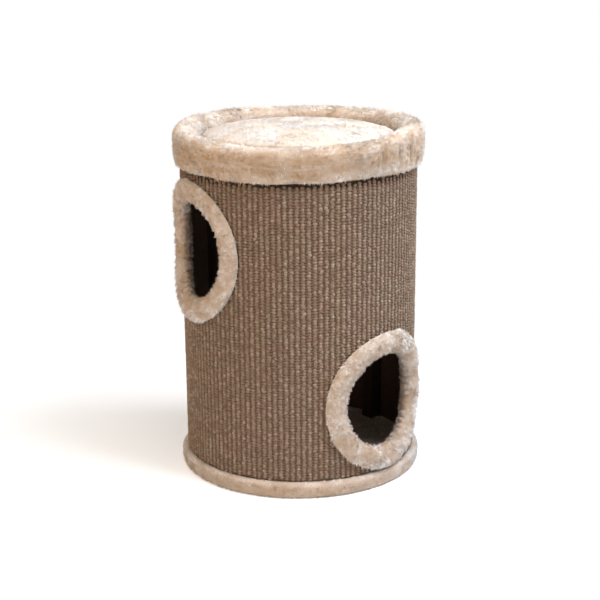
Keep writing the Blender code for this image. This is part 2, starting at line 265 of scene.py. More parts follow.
def lightStudio():
    scene = bpy.context.scene
    scene.view_settings.view_transform = "Standard"
    scene.world = whiteWorld()
    shape = bmesh.new()
    bmesh.ops.create_grid(shape, x_segments=2, y_segments=2, size=studio["floorSize"])
    floor = keepPiece("studioFloor", shape, floorMaterial(), smooth=False)

    for name, lamp in studio["lamps"].items():
        data = bpy.data.lights.new(name, "AREA")
        setAll(data, {"energy": lamp["watts"], "size": lamp["size"], "color": hexColour(lamp["colour"])[:3]})
        light = bpy.data.objects.new(name, data)
        light.location = polar(lamp["azimuth"], lamp["distance"], lamp["height"])
        aim = Vector((0, 0, studio["aimHeight"])) - light.location
        light.rotation_euler = aim.to_track_quat("-Z", "Y").to_euler()
        scene.collection.objects.link(light)
    print("studio lit")


# Materials

def newMaterial(name):
    material = bpy.data.materials.new(name)
    material.use_nodes = True
    tree = material.node_tree
    return material, tree, tree.nodes["Principled BSDF"]


def mixColours(tree, share, first, second):
    # A colour is a hex code or a socket
    first, second = (hexColour(colour) if isinstance(colour, str) else colour for colour in (first, second))
    return fromNode(tree, "ShaderNodeMix", {0: share, 6: first, 7: second}, 2, data_type="RGBA")


def patches(tree, size, low=0.3, high=0.7, detail=2.0, distortion=0.0, stretch=(1, 1, 1)):
    # Soft patches of a real size in metres, as a share from 0 to 1
    stretched = fromNode(tree, "ShaderNodeMapping", {"Vector": objectPlace(tree), "Scale": stretch})
    looks = {"Vector": stretched, "Scale": 1 / size, "Detail": detail, "Distortion": distortion}
    spots = fromNode(tree, "ShaderNodeTexNoise", looks, "Fac")
    return fromNode(tree, "ShaderNodeMapRange", {"Value": spots, "From Min": low, "From Max": high})


def relief(tree, height, strength, depth):
    return fromNode(tree, "ShaderNodeBump", {"Height": height, "Strength": strength, "Distance": depth})


def tintOf(tree):
    return fromNode(tree, "ShaderNodeAttribute", output="Fac", attribute_name="tint")


plush = {"twist": 0.6, "fleckSize": 0.006, "tintPull": -0.7, "tintLift": 0.3, "toneAndShadeShare": 0.30, "sheenTint": "f6efe8"}


def brushedPlush(name, dark, light, deep, sheen, stroke=0.030, flat=1.4, fleck=0.18, spread=(0.34, 0.68)):
    # Short polyester pile, brushed: matt, with a soft bright edge and lighter or darker strokes where the nap turns
    material, tree, shader = newMaterial(name)
    strokes = patches(tree, stroke, *spread, distortion=plush["twist"], stretch=(1.0, 1.0, flat))
    flecks = patches(tree, plush["fleckSize"])
    # The tufts' tint, random tone with painted light and shade, darkens the strokes and mixes in the deep colour
    tint = tintOf(tree)
    strokes = calculate(tree, "MULTIPLY_ADD", tint, plush["tintPull"], strokes)
    strokes = calculate(tree, "ADD", strokes, plush["tintLift"], clamp=True)
    colour = mixColours(tree, strokes, dark, light)
    for spots, most in ((flecks, fleck), (tint, plush["toneAndShadeShare"])):
        colour = mixColours(tree, calculate(tree, "MULTIPLY", spots, most), colour, deep)
    feed(tree, shader, {
        "Base Color": colour, "Roughness": 0.92, "Specular IOR Level": 0.2,
        "Sheen Weight": sheen, "Sheen Roughness": 0.5, "Sheen Tint": hexColour(plush["sheenTint"]),
    })
    return material


def spunSisal(name, pale, red, olive):
    # Spun sisal yarn, woven and undyed in part: dry and matt, mottled from pinkish to olive brown
    material, tree, shader = newMaterial(name)
    hue = patches(tree, 0.022, 0.38, 0.62, distortion=0.6, stretch=(1, 1, 2.2))
    wear = patches(tree, 0.007, high=0.72)
    colour = mixColours(tree, hue, red, olive)
    # Pale flecks follow the knots' tint, which holds a painted shadow under the rim
    colour = mixColours(tree, calculate(tree, "MULTIPLY", wear, tintOf(tree)), colour, pale)
    feed(tree, shader, {"Base Color": colour, "Roughness": 0.85, "Specular IOR Level": 0.25})
    return material


# A wave texture of scale "waveScale" repeats once a metre; the sheet's upper edge is darkened as a painted shadow under
# the rim
weft = {
    "waveScale": 0.314, "pitch": 0.00375, "height": 0.001, "spots": 0.012, "rimShadowEdge": (0.416, 0.421), "rimShadow": "33261d",
}


def sisalGround(name, dark, mid):
    # The weave's ground between the ribs: dark, with weft threads across it every 3.75 mm
    material, tree, shader = newMaterial(name)
    place = objectPlace(tree)
    looks = {"Vector": place, "Scale": weft["waveScale"] / weft["pitch"], "Distortion": 1.5, "Detail": 1.0}
    threads = fromNode(tree, "ShaderNodeTexWave", looks, "Fac", bands_direction="Z")
    share = calculate(tree, "MULTIPLY_ADD", patches(tree, weft["spots"]), 0.6, 0.4)
    share = calculate(tree, "MULTIPLY", threads, share)
    colour = mixColours(tree, share, dark, mid)
    # Painted shadow under the rim: the ground darkens towards the sheet's upper edge
    height = fromNode(tree, "ShaderNodeSeparateXYZ", {0: place}, "Z")
    low, high = weft["rimShadowEdge"]
    edge = fromNode(tree, "ShaderNodeMapRange", {"Value": height, "From Min": low, "From Max": high})
    colour = mixColours(tree, edge, colour, weft["rimShadow"])
    feed(tree, shader, {
        "Base Color": colour, "Normal": relief(tree, threads, 0.6, weft["height"]),
        "Roughness": 0.95, "Specular IOR Level": 0.15,
    })
    return material


def woodMaterial(name, dark, light, grain, stretch, roughness):
    # Raw wood: long grain for planed pine, short flakes for chipboard, a close felt of fibres for hardboard
    material, tree, shader = newMaterial(name)
    streaks = patches(tree, grain, 0.32, 0.68, detail=4.0, distortion=0.5, stretch=stretch)
    clouds = calculate(tree, "MULTIPLY", patches(tree, 0.05), 0.3)
    colour = mixColours(tree, streaks, dark, light)
    colour = mixColours(tree, clouds, colour, dark)
    bumps = relief(tree, streaks, 0.25, 0.0006)
    feed(tree, shader, {"Base Color": colour, "Normal": bumps, "Roughness": roughness})
    return material


def zincSteel():
    # Zinc-plated steel: grey with a faint blue-yellow bloom, brighter where a driver has turned it
    material, tree, shader = newMaterial("zinc-plated steel, barrel plated")
    bloom = patches(tree, 0.004, 0.35, 0.65)
    colour = mixColours(tree, bloom, "a7a9ad", "c4c0b2")
    feed(tree, shader, {"Base Color": colour, "Metallic": 1.0, "Roughness": 0.38})
    return material


def cellFoam(name, dark, light, cell):
    # Open-cell foam: pale, dull and full of small pores
    material, tree, shader = newMaterial(name)
    pores = patches(tree, cell, 0.35, 0.6)
    colour = mixColours(tree, pores, dark, light)
    feed(tree, shader, {"Base Color": colour, "Normal": relief(tree, pores, 0.5, 0.0008), "Roughness": 0.95})
    return material


beigePile = brushedPlush(
    "beige polyester plush, brushed pile", "c4a68a", "f2ece6", "ab957f", 0.8,
    stroke=0.024, flat=1.0, fleck=0.25, spread=(0.40, 0.62),
)
bandPile = brushedPlush(
    "beige polyester plush, brushed along the band", "c29d76", "f3eadf", "b0946e", 0.8, flat=3.0, fleck=0.06,
)
beigeGround = brushedPlush("beige polyester plush, knitted ground", "ad937b", "cab6a2", "937c65", 0.5)
creamPile = brushedPlush(
    "cream polyester plush, brushed pile", "e1ceba", "e8e5e1", "d3c8bc", 0.35, stroke=0.045, fleck=0.06,
)
creamGround = brushedPlush("cream polyester plush, knitted ground", "d8c9b8", "e6dbcf", "c2ae98", 0.3)
sisalYarn = spunSisal("sisal yarn, spun and woven", "ab9985", "7a5f4e", "75634e")
sisalBase = sisalGround("sisal weave, ground between the ribs", "59463b", "806b5b")
chipboard = woodMaterial("chipboard, sawn and unsealed", "9a744b", "d0ac7c", 0.006, (1, 1, 1), 0.85)
hardboard = woodMaterial("hardboard, pressed smooth", "423025", "5a4434", 0.0025, (1, 1, 0.6), 0.7)
# The battens' dark colour is painted shade, for their shaded faces inside the barrel
pine = woodMaterial("pine, planed, dark as painted shade", "291d15", "3a2b1d", 0.006, (1, 1, 0.06), 0.65)
steel = zincSteel()
rollFoam = cellFoam("polyether foam, cut", "d9cba3", "efe6c8", 0.0022)

for names, material in (
    (("base_board", "top_board"), chipboard),
    (("barrel_wall",), hardboard),
    (("front_batten", "seam_batten", "back_batten"), pine),
    (("top_screw_front", "top_screw_seam", "top_screw_back"), steel),
    (("lower_entrance_foam", "upper_entrance_foam", "rim_foam"), rollFoam),
):
    for name in names:
        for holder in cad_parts[name].material_slots:
            holder.material = material
print("materials made")


# Plush skins: a closed section, spun round, with the pile's share and the place along the section on each point

def spinOutline(shape, outline, steps):
    # Carries (reach, rise) points round Z in a fixed order; where they meet the axis there is one point
    rings = []
    for reach, rise in outline:
        turns = [2 * pi * k / steps for k in range(steps if reach > tiny else 1)]
        rings.append([shape.verts.new((reach * cos(turn), reach * sin(turn), rise)) for turn in turns])
    for index, second in enumerate(rings):
        first = rings[index - 1]
        for k in range(steps):
            square = ((first, k), (first, k + 1), (second, k + 1), (second, k))
            corners = list(dict.fromkeys(ring[place % len(ring)] for ring, place in square))
            if len(corners) > 2:
                shape.faces.new(corners)
    bmesh.ops.recalc_face_normals(shape, faces=shape.faces)
    return rings


def mapSkin(shape, along, steps):
    # The bake's own map: once round, and along the section
    chart = shape.loops.layers.uv.new("OFBake")
    widest = 1 + 1 / steps
    for face in shape.faces:
        rounds = [atan2(loop.vert.co.y, loop.vert.co.x) / (2 * pi) % 1.0 for loop in face.loops]
        places = [loop.vert[along] for loop in face.loops]
        wraps = max(rounds) - min(rounds) > 0.5
        closes = max(places) - min(places) > 0.5
        for loop, turn, place in zip(face.loops, rounds, places):
            turn += 1 if wraps and turn < 0.5 else 0
            place += 1 if closes and place < 0.5 else 0
            loop[chart].uv = (turn / widest, place / widest)


def spinSkin(outline, piled, steps, shadeOf=None):
    # piled has each point's share of pile; shadeOf gives the tufts' tint at a place
    shape = bmesh.new()
    pile = shape.verts.layers.float.new("pile")
    along = shape.verts.layers.float.new("along")
    for index, ring in enumerate(spinOutline(shape, outline, steps)):
        for corner in ring:
            corner[pile] = piled[index]
            corner[along] = index / len(outline)
    if shadeOf:
        shade = shape.verts.layers.float.new("shade")
        for corner in shape.verts:
            corner[shade] = shadeOf(corner.co)
    mapSkin(shape, shape.verts.layers.float["along"], steps)
    shape.normal_update()
    return shape, shape.verts.layers.float["pile"]


def thinned(count, start, end):
    # The pile's share along a section; each end has its own share and the points over which that grows by one
    return [min(1.0, start[0] + k / start[1], end[0] + (count - 1 - k) / end[1]) for k in range(count)]


def lumps(place, unevenness, seed=0.0):
    # Soft noise from a seed, a size and a height
    own, size, height = unevenness
    own += seed
    return noise.noise((place + Vector((own, own * 0.7, -own))) / size) * height


# What all piles share; a tuft's corners lie "texel" apart on the bake's map
tuft = {
    "closest": 0.62, "strokeDetail": 1.5, "strokeTwist": 0.4, "tint": (0.15, 0.4), "valleyShade": 0.4,
    "long": (0.75, 1.2), "clumpLong": (1.1, 0.7), "clumpReach": 0.6, "texel": 0.0006,
}


def randomShare(tree, limits, seed):
    feeds = {2: limits[0], 3: limits[1], "Seed": seed}
    return fromNode(tree, "FunctionNodeRandomValue", feeds, 1, data_type="FLOAT")


def skinValue(tree, label, kind="FLOAT"):
    return fromNode(tree, "GeometryNodeInputNamedAttribute", {"Name": label}, "Attribute", data_type=kind)


def growPile(name, skin, material, pile):
    # Tufts over the skin, leaning along a nap that turns from stroke to stroke and into small clumps
    tree = bpy.data.node_groups.new(name + "Nap", "GeometryNodeTree")
    for way in ("INPUT", "OUTPUT"):
        tree.interface.new_socket("Geometry", in_out=way, socket_type="NodeSocketGeometry")
    seed, clump = pile["seed"], pile["clump"]
    points = addNode(
        tree, "GeometryNodeDistributePointsOnFaces",
        {"Mesh": fromNode(tree, "NodeGroupInput"), "Distance Min": pile["spacing"] * tuft["closest"],
         "Density Max": pile["spacing"] ** -2, "Density Factor": skinValue(tree, "pile"), "Seed": seed},
        distribute_method="POISSON",
    )
    normal = points.outputs["Normal"]
    place = fromNode(tree, "GeometryNodeInputPosition")
    looks = {"Scale": 1 / pile["stroke"], "Detail": tuft["strokeDetail"], "Distortion": tuft["strokeTwist"]}
    swirl = fromNode(tree, "ShaderNodeTexNoise", {"Vector": place, **looks}, "Color")
    swirl = vectorMath(tree, "SUBTRACT", swirl, (0.5, 0.5, 0.5))
    swirl = vectorMath(tree, "SCALE", swirl, pile["swirl"])
    swirl = vectorMath(tree, "ADD", swirl, pile["lay"])
    cells = addNode(tree, "ShaderNodeTexVoronoi", {"Vector": place, "Scale": 1 / clump})
    fromMiddle = cells.outputs["Distance"]
    inward = vectorMath(tree, "SUBTRACT", cells.outputs["Position"], place)
    inward = vectorMath(tree, "SCALE", inward, pile["gather"] / clump)
    swirl = vectorMath(tree, "ADD", swirl, inward)
    upright = vectorMath(tree, "PROJECT", swirl, normal)
    flat = vectorMath(tree, "SUBTRACT", swirl, upright)
    limits = {0: (-pile["stray"],) * 3, 1: (pile["stray"],) * 3}
    stray = fromNode(tree, "FunctionNodeRandomValue", {**limits, "Seed": seed + 1}, data_type="FLOAT_VECTOR")
    flat = vectorMath(tree, "ADD", flat, stray)
    aim = vectorMath(tree, "ADD", normal, flat)
    aim = fromNode(tree, "ShaderNodeVectorMath", {0: aim}, operation="NORMALIZE")
    # Each tuft's tint: random tone, the skin's painted light and shade, and painted shade on tufts in the valleys
    # between clumps
    tint = calculate(tree, "ADD", randomShare(tree, tuft["tint"], seed + 2), skinValue(tree, "shade"))
    tint = calculate(tree, "MULTIPLY_ADD", fromMiddle, tuft["valleyShade"], tint, clamp=True)
    kept = points.outputs["Points"]
    for label, kind, value in (
        ("skinNormal", "FLOAT_VECTOR", normal),
        ("lean", "FLOAT_VECTOR", aim),
        ("rootPlace", "FLOAT_VECTOR", skinValue(tree, "OFBake", "FLOAT_VECTOR")),
        ("tint", "FLOAT", tint),
    ):
        feeds = {"Geometry": kept, "Name": label, "Value": value}
        kept = fromNode(tree, "GeometryNodeStoreNamedAttribute", feeds, data_type=kind)
    turn = fromNode(tree, "FunctionNodeAlignRotationToVector", {"Vector": aim}, axis="Z")
    high, low = tuft["clumpLong"]
    limits = {"From Min": 0.0, "From Max": tuft["clumpReach"], "To Min": high, "To Max": low}
    lie = fromNode(tree, "ShaderNodeMapRange", {"Value": fromMiddle, **limits})
    long = calculate(tree, "MULTIPLY", randomShare(tree, tuft["long"], seed + 3), lie)
    size = {"Radius Top": 0.0, "Radius Bottom": pile["width"] / 2, "Depth": pile["length"]}
    cone = fromNode(tree, "GeometryNodeMeshCone", {"Vertices": 3, **size}, "Mesh", fill_type="NGON")
    feeds = {"Points": kept, "Instance": cone, "Rotation": turn, "Scale": long}
    tufts = fromNode(tree, "GeometryNodeInstanceOnPoints", feeds)
    solid = fromNode(tree, "GeometryNodeRealizeInstances", {"Geometry": tufts})
    addNode(tree, "NodeGroupOutput", {0: solid})

    piece = bpy.data.objects.new(name, skin.data.copy())
    bpy.context.scene.collection.objects.link(piece)
    addModifier(piece, "NODES", node_group=tree)
    applyModifiers(piece)
    bpy.data.node_groups.remove(tree)
    softenPile(piece.data, pile["soft"])
    piece.data.materials.clear()
    piece.data.materials.append(material)
    return piece


def softenPile(mesh, soft):
    # Tufts take light as the nap they lie in does, and colour at their roots' place on the skin's map
    skinNormal, lean, root = (
        readVectors(mesh.attributes[label].data, "vector") for label in ("skinNormal", "lean", "rootPlace")
    )
    side = skinNormal - lean * (skinNormal * lean).sum(1, keepdims=True)
    side /= np.linalg.norm(side, axis=1, keepdims=True) + tiny
    shown = skinNormal * soft + side * (1 - soft)
    shown /= np.linalg.norm(shown, axis=1, keepdims=True) + tiny
    mesh.shade_smooth()
    mesh.normals_split_custom_set_from_vertices(shown)
    for label in ("skinNormal", "lean", "rootPlace", "OFBake", "pile", "along", "shade"):
        if label in mesh.attributes:
            mesh.attributes.remove(mesh.attributes[label])
    offsets = tuft["texel"] * np.array([(0, 0), (1, 0), (0, 1), (1, 1)])
    corners = readNumbers(mesh.loops, "vertex_index")
    setChart(mesh, root[corners, :2] + offsets[corners % 4])


# Rim: plush drawn over a foam profile on the barrel's top edge; the parting splits inner from outer side
rim = {
    "outerRadius": 0.1714, "innerRadius": 0.1402, "parting": 0.162, "top": 0.4914, "bottom": 0.4252, "lip": 0.1656,
    "curl": 0.025, "shoulder": 2.6, "lining": 0.004, "bedGap": 0.0004, "dip": 0.023, "hemRise": 0.0055,
    "hemReach": 0.04, "steps": 540, "thinInside": (0.0, 3), "thinHem": (0.4, 2),
    "lump": (1.0, 0.05, 0.0014), "dimple": (2.0, 0.013, 0.0007), "wave": (4.0, 0.03, 0.0014), "waveReach": 0.02,
    "gathers": {-6.0: 0.0020, 4.6: 0.0055, 13.6: 0.0055, 20.5: 0.0035, 28.0: 0.0045}, "gatherWidth": 1.3,
    "ridge": 0.35, "ridgeApart": 2, "slant": (6.0, 0.03, 2.0),
    "paleInside": -0.5, "pale": -0.25, "tan": 0.32, "tanFront": 0.40, "hemFade": (0.04, 0.24), "crestFade": 0.22,
    "pile": {
        "spacing": 0.00142, "length": 0.0042, "width": 0.0013, "stroke": 0.042, "swirl": 3.6, "lay": (0, 0, -0.6),
        "clump": 0.008, "gather": 0.9, "stray": 0.3, "soft": 0.74, "seed": 5,
    },
}


def onOuterSide(place):
    return place.x ** 2 + place.y ** 2 > rim["parting"] ** 2


def rimRise(place):
    # 0 at the hem, 1 at the crest
    return (place.z - rim["bottom"]) / (rim["top"] - rim["bottom"])


def fromFront(place):
    return atan2(place.x, -place.y) - radians(barrel["front"])


def sinkRim(place, crestHeight):
    # The crest dips at the front, where the legs over the wall shorten
    facing = ((1 + cos(fromFront(place))) / 2) ** 2
    alongLeg = (place.z - barrel["wallTop"]) / (crestHeight - barrel["wallTop"])
    return place - Vector((0, 0, rim["dip"] * facing * clamped(alongLeg)))


def gatherRim(place):
    # Upright folds where the ends of the plush band meet
    azimuth = degrees(atan2(place.x, -place.y))
    slant = lumps(Vector((0, 0, place.z)), rim["slant"])
    fade = max(0.0, sin(pi * clamped(rimRise(place))))
    depth = 0.0
    for middle, most in rim["gathers"].items():
        apart = (azimuth + slant - middle) / rim["gatherWidth"]
        fold = exp(-apart * apart) - rim["ridge"] * exp(-(abs(apart) - rim["ridgeApart"]) ** 2)
        depth += most * fold
    return depth * fade


def crestOutline(middle, half, steps):
    # From the inner side over the top to the outer side, whose shoulder is squarer
    points = []
    for across, up in arc((0, 0), (1, 1), 180, 0, steps):
        if across > 0:
            across, up = across ** (2 / rim["shoulder"]), max(0, up) ** (2 / rim["shoulder"])
        points.append((middle[0] + half * across, middle[1] + half * up))
    return points


def hemLift(azimuth):
    # The lower edge hangs lowest at the front, under the dip
    away = azimuth - radians(barrel["front"])
    return rim["hemRise"] * (1 - ((1 + np.cos(away)) / 2) ** 8)


def nearHem(place, reach):
    # 1 at the hem, fading to 0 over this height
    return max(0.0, 1 - (place.z - rim["bottom"]) / reach) if onOuterSide(place) else 0.0


def liftHem(place):
    return place + Vector((0, 0, hemLift(atan2(place.x, -place.y)) * nearHem(place, rim["hemReach"])))


def rimShade(place):
    # Painted light and shade in the tufts' tint: paler on the crest and the inner side, as if lit from above, and along
    # the hem; tan on the outer face, darkest towards the front
    if not onOuterSide(place):
        return rim["paleInside"]
    rise = rimRise(place)
    fromHem = clamped((rise - rim["hemFade"][0]) / rim["hemFade"][1])
    fromCrest = clamped((1.0 - rise) / rim["crestFade"])
    share = min(fromHem, fromCrest)
    tan = rim["tan"] + rim["tanFront"] * cos(fromFront(place))
    return rim["pale"] + tan * share * share * (3 - 2 * share)


def drawRim():
    outside, inside, lining = rim["outerRadius"], rim["innerRadius"], rim["lining"]
    half = (outside - inside) / 2
    crest = (outside - half, rim["top"] - half)
    curlMiddle = (rim["lip"], rim["bottom"] + rim["curl"])
    curl = (outside - rim["lip"], rim["curl"])
    foot = barrel["bed"] + rim["bedGap"]
    outer = [(inside, foot)] + line((inside, foot), (inside, crest[1]), steps=16)[:-1]
    outer += crestOutline(crest, half, steps=32)
    outer += line((outside, crest[1]), (outside, curlMiddle[1]), steps=13)[:-1]
    outer += arc(curlMiddle, curl, 0, -90, steps=16)
    inner = arc(curlMiddle, (curl[0] - lining, curl[1] - lining), -90, 0, steps=4)
    inner += crestOutline(crest, half - lining, steps=8)[::-1] + [(inside + lining, foot)]
    piled = thinned(len(outer), rim["thinInside"], rim["thinHem"]) + [0.0] * len(inner)
    shape, pile = spinSkin(outer + inner, piled, rim["steps"], rimShade)
    for corner in shape.verts:
        share = corner[pile]
        if share > 0:
            swell = lumps(corner.co, rim["lump"]) + lumps(corner.co, rim["dimple"])
            drop = lumps(corner.co, rim["wave"]) * nearHem(corner.co, rim["waveReach"])
            swell -= gatherRim(corner.co) if onOuterSide(corner.co) else 0.0
            corner.co += corner.normal * swell * share + Vector((0, 0, drop))
    for corner in shape.verts:
        corner.co = sinkRim(liftHem(corner.co), crest[1])
    shape.normal_update()
    piece = keepPiece("rimPlush", shape, beigeGround)
    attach(piece, "barrel")
    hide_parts("rim_plush")
    nap = growPile("rimPile", piece, bandPile, rim["pile"])
    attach(nap, "barrel")
    print("rim", len(piece.data.polygons), len(nap.data.polygons))


# Entrance rolls: plush wrapped over foam that grips the cut edge. The pleats' place is in degrees round the section.
roll = {
    "middle": 0.0824, "halfWidth": 0.0152, "halfDepth": 0.0116, "out": 0.0018, "slot": 0.0058, "lining": 0.0030,
    "steps": 260, "thinEnd": (0.4, 3),
    "lump": (0, 0.035, 0.0012), "dimple": (1, 0.011, 0.0008), "pleats": 44, "pleat": 0.0021,
    "pleatMiddle": 200, "pleatReach": 65, "gathered": (5, 0.05, 0.5), "wobble": (6, 0.03, 1.5),
    "shade": -0.15, "holeShade": 0.4,
    "pile": {
        "spacing": 0.00136, "length": 0.0047, "width": 0.0012, "stroke": 0.026, "swirl": 3.2, "lay": (0, 0, -0.3),
        "clump": 0.0080, "gather": 1.3, "stray": 0.25, "soft": 0.56, "seed": 21,
    },
}


def wrapOnWall(place, azimuth, height):
    # From a flat ring, its axis along Z, to the bent wall
    angle = radians(azimuth) + place.x / barrel["radius"]
    reach = barrel["wallMiddle"] + place.z
    return Vector((reach * sin(angle), -reach * cos(angle), height + place.y))


def lipAngles(depth):
    # Where a section of this half depth meets the slot's two sides
    front = asin((roll["slot"] - roll["out"]) / depth)
    back = 2 * pi - asin((roll["slot"] + roll["out"]) / depth)
    return degrees(front), degrees(back)


def rollSwell(place, seed):
    # Pleats where the plush turns into the hole, and the foam's own unevenness
    turn = atan2(place.y, place.x)
    section = degrees(atan2(place.z - roll["out"], hypot(place.x, place.y) - roll["middle"])) % 360
    inward = max(0.0, 1 - abs(section - roll["pleatMiddle"]) / roll["pleatReach"])
    gathered = 0.5 + lumps(place, roll["gathered"], seed)
    pleats = cos(roll["pleats"] * turn + lumps(place, roll["wobble"], seed)) * roll["pleat"] * inward * gathered
    return pleats + lumps(place, roll["lump"], seed) + lumps(place, roll["dimple"], seed)


def towardsHole(place):
    # -1 at the roll's outer edge, 1 at its edge round the hole
    return (roll["middle"] - hypot(place.x, place.y)) / roll["halfWidth"]


def rollShade(place):
    # Painted shade: the tufts darker towards the hole, paler at the roll's outer edge
    return roll["holeShade"] * towardsHole(place) + roll["shade"]


def wrapRoll(name, entrance):
    centre = (roll["middle"], roll["out"])
    outside = (roll["halfWidth"], roll["halfDepth"])
    inside = (roll["halfWidth"] - roll["lining"], roll["halfDepth"] - roll["lining"])
    outer = arc(centre, outside, *lipAngles(outside[1]), steps=58)
    inner = arc(centre, inside, *reversed(lipAngles(inside[1])), steps=12)
    piled = thinned(len(outer), roll["thinEnd"], roll["thinEnd"]) + [0.0] * len(inner)
    shape, pile = spinSkin(outer + inner, piled, roll["steps"], rollShade)
    for corner in shape.verts:
        share = corner[pile]
        if share > 0:
            inward = max(0.0, towardsHole(corner.co))
            right = max(0.0, corner.co.x / hypot(corner.co.x, corner.co.y))
            corner.co.y += entrance["raise"] * inward
            corner.co.z -= entrance["pull"] * inward * right  # sewn tighter on this side
            corner.co += corner.normal * rollSwell(corner.co, entrance["seed"]) * share
    for corner in shape.verts:
        if corner.co.z < roll["out"]:
            corner.co.z = roll["out"] + (corner.co.z - roll["out"]) * entrance["inside"]
        corner.co = wrapOnWall(corner.co, entrance["azimuth"], entrance["height"])
    bmesh.ops.recalc_face_normals(shape, faces=shape.faces)
    piece = keepPiece(name + "EntrancePlush", shape, beigeGround)
    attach(piece, "barrel")
    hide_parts(name + "_entrance_plush")
    nap = growPile(name + "EntrancePile", piece, beigePile, roll["pile"])
    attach(nap, "barrel")
    print(name, "entrance", len(piece.data.polygons), len(nap.data.polygons))


# Base cover: plush over the board and the cave's floor, turned under as a hem; bare under the wall, from floorRadius
base = {
    "radius": 0.1707, "rounding": 0.0056, "floor": 0.0213, "floorRadius": 0.150, "underside": 0.0176,
    "boardRadius": 0.1653, "hemRadius": 0.150, "hem": 0.0021, "ground": 0.0002,
    "steps": 360, "lump": (8.0, 0.045, 0.0006), "floorPile": 0.45, "floorShade": -0.5,
    "edgeRadius": 0.155, "shade": 0.45, "ledge": (0.010, 0.019), "ledgeShade": -0.5,
    "edgePile": {
        "spacing": 0.0015, "length": 0.0034, "width": 0.0012, "stroke": 0.03, "swirl": 2.5, "lay": (0, 0, 0.45),
        "clump": 0.007, "gather": 0.8, "stray": 0.4, "soft": 0.58, "seed": 41,
    },
}


def baseShade(place):
    # Painted light and shade: darker at the foot of the edge, pale on its ledge as if lit from above, and pale on the
    # cave's floor
    if place.x ** 2 + place.y ** 2 <= base["edgeRadius"] ** 2:
        return base["floorShade"]
    low, high = base["ledge"]
    return base["shade"] + (base["ledgeShade"] - base["shade"]) * clamped((place.z - low) / (high - low))


def coverBase():
    radius, floor, rounding = base["radius"], base["floor"], base["rounding"]
    middle = radius - rounding
    inside = [(0.0, floor)] + line((0.0, floor), (base["floorRadius"], floor), steps=30)
    underWall = line((base["floorRadius"], floor), (middle, floor), steps=6)[:-1]
    edge = arc((middle, floor - rounding), (rounding, rounding), 90, 0, steps=6)
    edge += line((radius, floor - rounding), (radius, rounding), steps=6)[:-1]
    edge += arc((middle, rounding), (rounding, rounding), 0, -90, steps=6)
    hem = line((middle, 0.0), (base["hemRadius"], 0.0), steps=8)
    hem += [
        (base["hemRadius"], base["hem"]), (base["boardRadius"], base["hem"]),
        (base["boardRadius"], base["underside"]), (0.0, base["underside"]),
    ]
    piled = [base["floorPile"]] * len(inside) + [0.0] * len(underWall)
    piled += [1.0] * (len(edge) - 1) + [0.0] * (len(hem) + 1)
    shape, pile = spinSkin(inside + underWall + edge + hem, piled, base["steps"], baseShade)
    for corner in shape.verts:
        if corner[pile] > 0:
            corner.co += corner.normal * lumps(corner.co, base["lump"])
    piece = keepPiece("basePlush", shape, beigeGround)
    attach(piece, "barrel")
    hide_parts("base_plush")
    nap = growPile("basePile", piece, beigePile, base["edgePile"])
    places = readCoords(nap.data)
    places[:, 2] = np.maximum(places[:, 2], base["ground"])  # tufts bend where they meet the ground
    setPoints(nap.data, places)
    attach(nap, "barrel")
    print("base", len(piece.data.polygons), len(nap.data.polygons))


# Screws under the base: countersunk, with a cross recess
screw = {
    "head": 0.004, "land": 0.00045, "cone": 0.0027, "shank": 0.002, "length": 0.04, "point": 0.006, "steps": 32,
    "recess": (0.0024, 0.0010, 0.0016), "taper": 0.55,
}


def driveScrew(node):
    low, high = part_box(node)
    foot = Vector(((low[0] + high[0]) / 2, (low[1] + high[1]) / 2, low[2]))
    outline = [
        (0.0, 0.0), (screw["head"], 0.0), (screw["head"], screw["land"]),
        (screw["shank"], screw["cone"] + screw["land"]), (screw["shank"], screw["length"] - screw["point"]),
        (0.0, screw["length"]),
    ]
    shape = bmesh.new()
    spinOutline(shape, outline, screw["steps"])
    bmesh.ops.translate(shape, vec=foot, verts=shape.verts)
    piece = keepPiece(node + "Head", shape, steel, smooth=False)

    cross = bmesh.new()
    reach, width, depth = screw["recess"]
    for turn in (0, pi / 2):
        bar = bmesh.ops.create_cube(cross, size=2.0)["verts"]
        bmesh.ops.scale(cross, vec=(reach, width / 2, depth), verts=bar)
        bottom = [corner for corner in bar if corner.co.z > 0]
        bmesh.ops.scale(cross, vec=(screw["taper"], screw["taper"], 1), verts=bottom)
        bmesh.ops.rotate(cross, cent=(0, 0, 0), matrix=Matrix.Rotation(turn, 3, "Z"), verts=bar)
    bmesh.ops.translate(cross, vec=foot, verts=cross.verts)
    cutter = keepPiece("recess", cross, smooth=False)
    addModifier(piece, "BOOLEAN", operation="DIFFERENCE", solver="EXACT", use_self=True, object=cutter)
    applyModifiers(piece)
    bpy.data.objects.remove(cutter, do_unlink=True)
    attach(piece, "barrel")
    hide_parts(node)
    print(node, len(piece.data.polygons))


# Bed: plush glued on the top board, under the cushion; the rim hides it beyond pileRadius
bed = {
    "radius": 0.1544, "pileRadius": 0.1355, "top": 0.4409, "bottom": 0.4366, "steps": 180,
    "pile": {
        "spacing": 0.0021, "length": 0.0022, "width": 0.0010, "stroke": 0.03, "swirl": 2.5, "lay": (0, 0, 0),
        "clump": 0.007, "gather": 1.0, "stray": 0.35, "soft": 0.6, "seed": 61,
    },
}


def layBed():
    top = bed["top"]
    outer = [(0.0, top)] + line((0.0, top), (bed["pileRadius"], top), steps=28)
    bare = line((bed["pileRadius"], top), (bed["radius"], top), steps=3)
    bare += [(bed["radius"], bed["bottom"]), (0.0, bed["bottom"])]
    piled = [1.0] * (len(outer) - 1) + [0.0] * (len(bare) + 1)
    piece = keepPiece("bedPlush", spinSkin(outer + bare, piled, bed["steps"])[0], creamGround)
    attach(piece, "barrel")
    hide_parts("bed_plush")
    nap = growPile("bedPile", piece, creamPile, bed["pile"])
    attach(nap, "barrel")
    print("bed", len(piece.data.polygons), len(nap.data.polygons))


